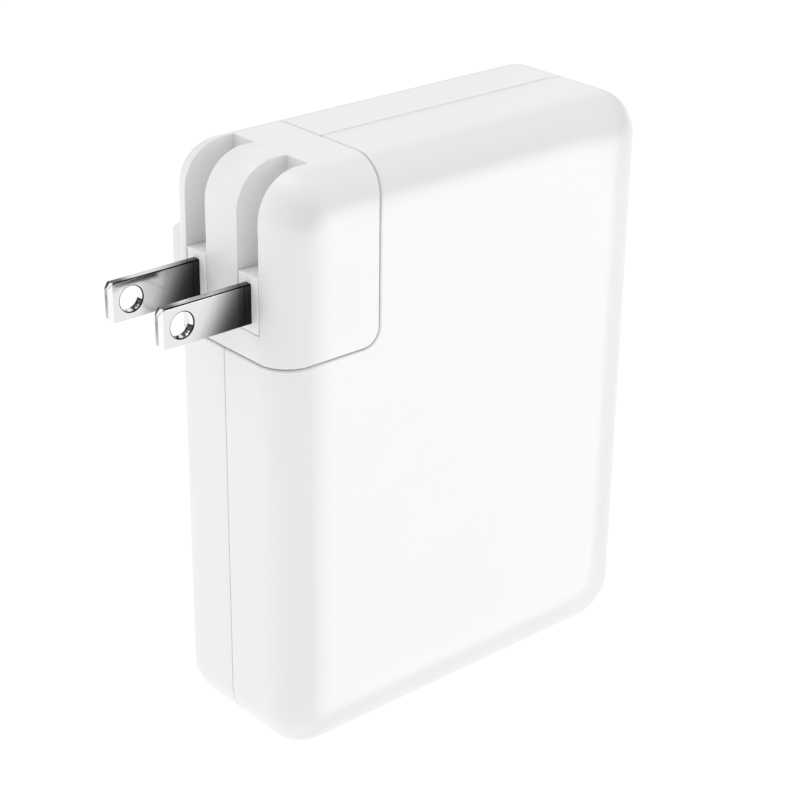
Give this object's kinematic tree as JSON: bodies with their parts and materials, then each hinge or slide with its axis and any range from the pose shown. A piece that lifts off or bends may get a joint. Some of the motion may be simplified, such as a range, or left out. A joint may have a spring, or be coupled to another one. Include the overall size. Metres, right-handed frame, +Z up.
{
  "type": "laptop power adapter",
  "caption": "Tall rounded white laptop power adapter with a slide-off corner plug module, two folding flat blades and a small oval output port.",
  "frame": {"origin": "centre of the casing's flat bottom face, at mid-width and mid-depth", "axes": "+Z up through the plug module, -X towards the blades, -Y out of the front broad face"},
  "size_m": [0.0917, 0.0295, 0.0975],
  "materials": {
    "casing_plastic": "white satin-gloss polycarbonate",
    "module_plastic": "white satin-gloss polycarbonate, same as the casing",
    "hub_plastic": "white moulded plastic round the blades",
    "inner_plastic": "pale grey-white moulded plastic",
    "nickel_plate": "polished nickel plate on brass",
    "stud_steel": "stainless steel",
    "contact_brass": "plain brass",
    "black_plastic": "black moulding compound",
    "board_laminate": "green glass-epoxy board",
    "copper_wire": "enamelled copper",
    "ferrite": "dark grey ferrite",
    "can_aluminium": "plain aluminium",
    "film_case": "yellow potted case",
    "insulating_film": "thin translucent film",
    "pad_rubber": "soft grey-blue thermal pad"
  },
  "bodies": {
    "casing": {"front_shell": "casing_plastic", "back_shell": "casing_plastic", "ac_inlet": "inner_plastic", "inlet_pin_front": "nickel_plate", "inlet_pin_back": "nickel_plate", "docking_stud": "stud_steel", "port_can": "stud_steel", "port_tongue": "black_plastic", "port_board": "board_laminate", "port_header": "black_plastic", "main_board": "board_laminate", "inlet_lead_front": "copper_wire", "inlet_lead_back": "copper_wire", "bulk_capacitor_a": "can_aluminium", "bulk_capacitor_b": "can_aluminium", "bridge_rectifier": "black_plastic", "heat_sink": "can_aluminium", "power_switch": "black_plastic", "output_inductor": "ferrite", "choke_core": "ferrite", "output_capacitor_a": "can_aluminium", "output_capacitor_b": "can_aluminium", "control_chip": "black_plastic", "isolator": "black_plastic", "x_capacitor": "film_case", "fuse": "film_case", "transformer_core": "ferrite", "transformer_winding": "copper_wire", "thermal_pad": "pad_rubber", "front_heat_spreader": "can_aluminium", "front_insulating_sheet": "insulating_film", "rear_heat_spreader": "can_aluminium", "rear_insulating_sheet": "insulating_film"},
    "plug_module": {"plug_shell": "module_plastic", "plug_inner_cover": "inner_plastic", "blade_cradle": "inner_plastic", "detent_spring": "stud_steel", "inlet_plug": "inner_plastic", "socket_contact_front": "contact_brass", "socket_contact_back": "contact_brass", "blade_contact_front": "contact_brass", "blade_contact_back": "contact_brass"},
    "blades": {"blade_carrier": "hub_plastic", "blade_front": "nickel_plate", "blade_back": "nickel_plate", "stub_axle_front": "contact_brass", "stub_axle_back": "contact_brass"}
  },
  "joints": [
    {"name": "plug_slide", "type": "slide", "parent": "casing", "child": "plug_module", "axis": [0, 0, 1], "range_m": [0, 0.02]},
    {"name": "blade_fold", "type": "hinge", "parent": "plug_module", "child": "blades", "pos_m": [-0.03435, 0, 0.07632], "axis": [0, 1, 0], "range_deg": [0, 90]}
  ]
}
